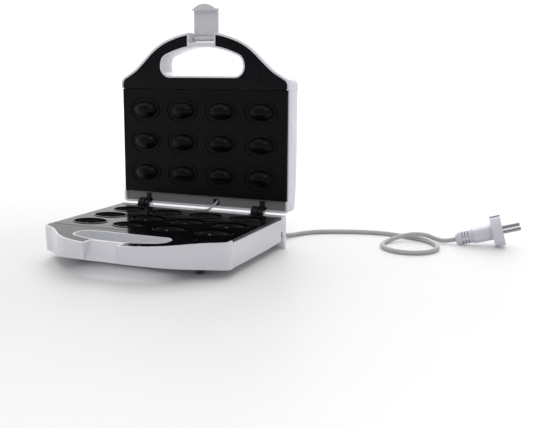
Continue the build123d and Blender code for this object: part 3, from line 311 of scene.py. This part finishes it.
# Across and along in the working frame, and the height over the floor, in millimetres.
CORD_ROUTE = [
    (88.9, 34.6, 12.2),
    (92.1, 46.4, 7.7),
    (96.0, 59.0, 4.2),
    (101.0, 72.0, LYING),
    (108.5, 86.5, LYING),
    (121.0, 101.0, LYING),
    (143.0, 112.5, LYING),
    (173.0, 123.5, LYING),
    (203.0, 128.5, LYING),
    (233.0, 122.5, LYING),
    (264.0, 111.5, LYING),
    (284.0, 90.0, LYING),
    (290.0, 64.0, LYING),
    (277.0, 41.0, LYING),
    (252.5, 34.5, LYING),
    (231.0, 45.5, LYING),
    (220.5, 66.0, LYING),
    (222.5, 88.0, LYING),
    (232.0, 102.0, 5.2),
    (248.0, 109.5, 9.3),
    (266.0, 112.3, 9.1),
    (277.5, 111.2, 4.8),
    (290.2, 111.3, 3.1),
    (302.2, 113.3, 6.4),
]

TUBE_ROUNDNESS = 6
TUBE_STEPS = 16
TUBE_ORDER = 3


def smooth_tube(name, places, diameter):
    """A round tube along a smooth curve, in the cord's grey."""
    data = bpy.data.curves.new(name, "CURVE")
    data.dimensions = "3D"
    data.bevel_depth = diameter / 2
    data.bevel_resolution = TUBE_ROUNDNESS
    data.resolution_u = TUBE_STEPS
    data.use_fill_caps = True
    spline = data.splines.new("NURBS")
    spline.points.add(len(places) - 1)
    for point, place in zip(spline.points, places):
        point.co = (*place, 1.0)
    spline.order_u = TUBE_ORDER
    spline.use_endpoint_u = True
    tube = bpy.data.objects.new(name, data)
    bpy.context.scene.collection.objects.link(tube)
    data.materials.append(materials["cord_grey"])
    return tube


def make_cord():
    """The power cord on its route, from the gland to the plug."""
    places = [above_floor(*place) for place in CORD_ROUTE]
    cord = smooth_tube("mains_cord", places, CORD_DIAMETER)
    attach(cord, "base")
    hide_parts("power_cord")


# Cable between the halves

CABLE_DIAMETER = 0.0025

# From inside the base, round the hinge line, into the lid.
CABLE_ROUTE = [
    (22.0, -1.5, -19.0),
    (-6.0, -1.5, -19.0),
    (-14.0, 5.5, -12.0),
    (-12.5, 6.5, -5.0),
    (-6.0, 8.0, -0.9),
    (4.0, 8.5, -1.2),
    (12.5, 10.5, 0.0),
    (17.5, 14.5, 5.0),
    (20.0, 23.0, 11.0),
    (19.5, 30.3, 15.7),
    (19.5, 30.5, 25.7),
]


def make_cable():
    """The thin cable between the halves, drawn round the hinge line."""
    drawn = smooth_tube("drawn_cable", [at(*place) for place in CABLE_ROUTE], CABLE_DIAMETER)
    bpy.context.view_layer.update()
    mesh = bpy.data.meshes.new_from_object(drawn.evaluated_get(bpy.context.evaluated_depsgraph_get()))
    bpy.data.objects.remove(drawn)
    for polygon in mesh.polygons:
        polygon.use_smooth = True
    cable = bpy.data.objects.new("hinge_cable", mesh)
    bpy.context.scene.collection.objects.link(cable)
    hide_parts("interconnect_cable")
    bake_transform(cable)


# Stage

FLOOR_SIZE = 80.0
FLOOR_TONES = ((0.78, 0.78, 0.78), (0.80, 0.80, 0.80))
FLOOR_ROUGHNESS = 0.55

# The floor's own light, from the distance where it starts to the one where it is full, in metres.
GLOW_START = 0.2
GLOW_END = 1.3
GLOW_POWER = 0.3


def add_glow(material, shader):
    """Light that grows away from the object, so that the floor runs into the white background."""
    tree = material.node_tree
    coordinates = tree.nodes.new("ShaderNodeTexCoord")
    distance = tree.nodes.new("ShaderNodeVectorMath")
    distance.operation = "LENGTH"
    band = tree.nodes.new("ShaderNodeMapRange")
    band.inputs["From Min"].default_value = GLOW_START
    band.inputs["From Max"].default_value = GLOW_END
    band.inputs["To Max"].default_value = GLOW_POWER
    tree.links.new(coordinates.outputs["Object"], distance.inputs[0])
    tree.links.new(distance.outputs["Value"], band.inputs["Value"])
    tree.links.new(band.outputs["Result"], shader.inputs["Emission Strength"])
    shader.inputs["Emission Color"].default_value = (1.0, 1.0, 1.0, 1.0)


def make_floor():
    """A wide pale floor."""
    bpy.ops.mesh.primitive_plane_add(size=FLOOR_SIZE, location=(0, 0, 0))
    floor = bpy.context.object
    floor.name = "floor"
    low, high = FLOOR_TONES
    material, shader = new_material("floor", high, FLOOR_ROUGHNESS)
    tones = add_noise(material, FLOOR_NOISE)
    vary_colour(material, shader, tones, low, high)
    add_glow(material, shader)
    floor.data.materials.append(material)


# The surround is strongest behind the object and weakest in front of it, along this axis.
WORLD_AXIS = (-0.4, 0.95, 0.45)
FRONT_LIMITS = (-0.95, 0.6)
FRONT_STRENGTH = 0.3
BACK_STRENGTH = 1.0

# Its strength from the horizon, 0, to straight up, 1. The scale keeps the colour ramp's values under 1.
SKY_HEIGHTS = (0.0, 0.3, 0.45, 0.75, 1.0)
SKY_STRENGTHS = (1.05, 1.05, 0.6, 1.1, 1.35)
SKY_SCALE = 2.5

# Where the ramp's added stops are before they are moved to their heights.
STOP_START = 0.5


def make_world():
    """A white surround: a bright band low down, a large bright top, and less light from the front."""
    world = bpy.data.worlds.new("world")
    world.use_nodes = True
    tree = world.node_tree
    background = tree.nodes["Background"]
    coordinates = tree.nodes.new("ShaderNodeTexCoord")
    along = tree.nodes.new("ShaderNodeVectorMath")
    along.operation = "DOT_PRODUCT"
    along.inputs[1].default_value = WORLD_AXIS
    band = tree.nodes.new("ShaderNodeMapRange")
    band.inputs["From Min"].default_value = FRONT_LIMITS[0]
    band.inputs["From Max"].default_value = FRONT_LIMITS[1]
    band.inputs["To Min"].default_value = FRONT_STRENGTH * SKY_SCALE
    band.inputs["To Max"].default_value = BACK_STRENGTH * SKY_SCALE
    axes = tree.nodes.new("ShaderNodeSeparateXYZ")
    ramp = tree.nodes.new("ShaderNodeValToRGB")
    stops = ramp.color_ramp.elements
    while len(stops) < len(SKY_HEIGHTS):
        stops.new(STOP_START)
    for stop, height, strength in zip(stops, SKY_HEIGHTS, SKY_STRENGTHS):
        stop.position = height
        level = strength / SKY_SCALE
        stop.color = (level, level, level, 1.0)
    product = tree.nodes.new("ShaderNodeMath")
    product.operation = "MULTIPLY"
    tree.links.new(coordinates.outputs["Generated"], along.inputs[0])
    tree.links.new(along.outputs["Value"], band.inputs["Value"])
    tree.links.new(coordinates.outputs["Generated"], axes.inputs["Vector"])
    tree.links.new(axes.outputs["Z"], ramp.inputs["Fac"])
    tree.links.new(ramp.outputs["Color"], product.inputs[0])
    tree.links.new(band.outputs["Result"], product.inputs[1])
    tree.links.new(product.outputs["Value"], background.inputs["Strength"])
    background.inputs["Color"].default_value = (1.0, 1.0, 1.0, 1.0)
    bpy.context.scene.world = world


# A soft light from high up behind gives the shadow in front. A small one in front gives the glints.
# Name, way that the light travels, spread in degrees, power.
LIGHTS = [
    ("back_light", (0.25, -0.9, -0.7), 50.0, 0.8),
    ("front_light", (-0.35, 0.7, -0.75), 14.0, 0.4),
]


def make_lights():
    """The two lights, both far off."""
    for name, way, spread, power in LIGHTS:
        data = bpy.data.lights.new(name, "SUN")
        data.angle = math.radians(spread)
        data.energy = power
        light = bpy.data.objects.new(name, data)
        bpy.context.scene.collection.objects.link(light)
        light.rotation_mode = "QUATERNION"
        light.rotation_quaternion = Vector(way).to_track_quat("-Z", "Y")


make_camera()
make_cord()
make_cable()
dress_nodes()
for shell in ("base_shell", "lid_shell"):
    ease_edges(shell)
make_floor()
make_world()
make_lights()
bpy.context.scene.view_settings.view_transform = "Standard"
